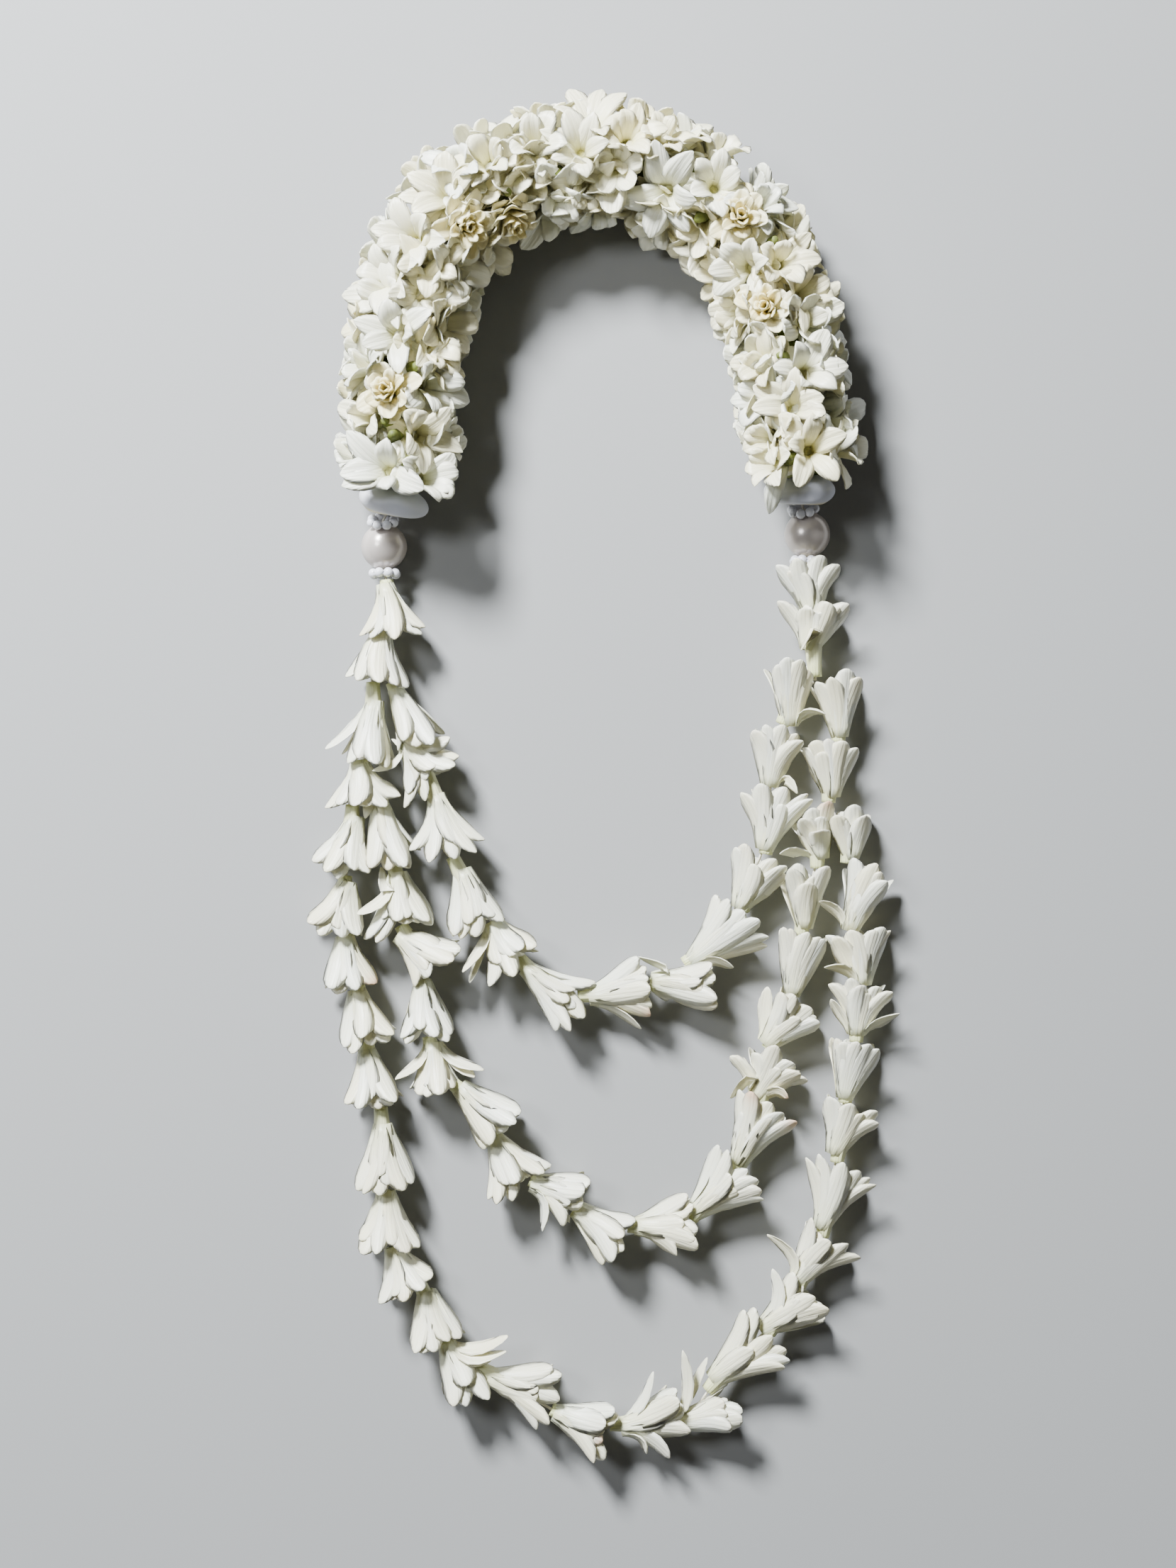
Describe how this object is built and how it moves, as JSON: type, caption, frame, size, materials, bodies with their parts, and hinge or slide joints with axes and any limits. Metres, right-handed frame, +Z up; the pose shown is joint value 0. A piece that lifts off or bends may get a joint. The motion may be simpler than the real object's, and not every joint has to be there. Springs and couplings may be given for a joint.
{
  "type": "tuberose lei",
  "caption": "Fresh tuberose lei laid flat: a thick collar of packed blooms, pearls at its ends and three nested strands of florets, worn round the neck.",
  "frame": {"origin": "on the surface it lies on, in the flat underside of the bloom under the crown of the collar", "axes": "+Y along the length from the strands to the crown, +Z up off the surface, +X to the right seen from above"},
  "size_m": [0.2033, 0.4751, 0.0444],
  "materials": {
    "petals": "waxy, satin fresh petal",
    "cap_petal": "smooth satin petal, bluish white",
    "pearl": "glossy nacre",
    "beads": "glossy white",
    "thread": "matt cotton thread"
  },
  "bodies": {
    "root": {"collar_blooms_01": "petals", "collar_blooms_02": "petals", "collar_blooms_03": "petals", "collar_blooms_04": "petals", "collar_blooms_05": "petals", "collar_blooms_06": "petals", "collar_blooms_07": "petals", "collar_blooms_08": "petals", "collar_blooms_09": "petals", "collar_blooms_10": "petals", "collar_blooms_11": "petals", "inner_florets_01": "petals", "inner_florets_02": "petals", "inner_florets_03": "petals", "inner_florets_04": "petals", "inner_florets_05": "petals", "inner_florets_06": "petals", "left_cap": "cap_petal", "left_lead_florets_01": "petals", "left_lower_beads": "beads", "left_pearl": "pearl", "left_shared_florets_01": "petals", "left_upper_beads": "beads", "middle_florets_01": "petals", "middle_florets_02": "petals", "middle_florets_03": "petals", "middle_florets_04": "petals", "middle_florets_05": "petals", "middle_florets_06": "petals", "middle_florets_07": "petals", "middle_florets_08": "petals", "outer_florets_01": "petals", "outer_florets_02": "petals", "outer_florets_03": "petals", "outer_florets_04": "petals", "outer_florets_05": "petals", "outer_florets_06": "petals", "outer_florets_07": "petals", "outer_florets_08": "petals", "outer_florets_09": "petals", "outer_florets_10": "petals", "outer_florets_11": "petals", "outer_florets_12": "petals", "right_cap": "cap_petal", "right_lead_florets_01": "petals", "right_lower_beads": "beads", "right_pearl": "pearl", "right_shared_florets_01": "petals", "right_upper_beads": "beads", "thread_collar": "thread", "thread_inner": "thread", "thread_middle": "thread", "thread_outer": "thread"}
  },
  "joints": []
}
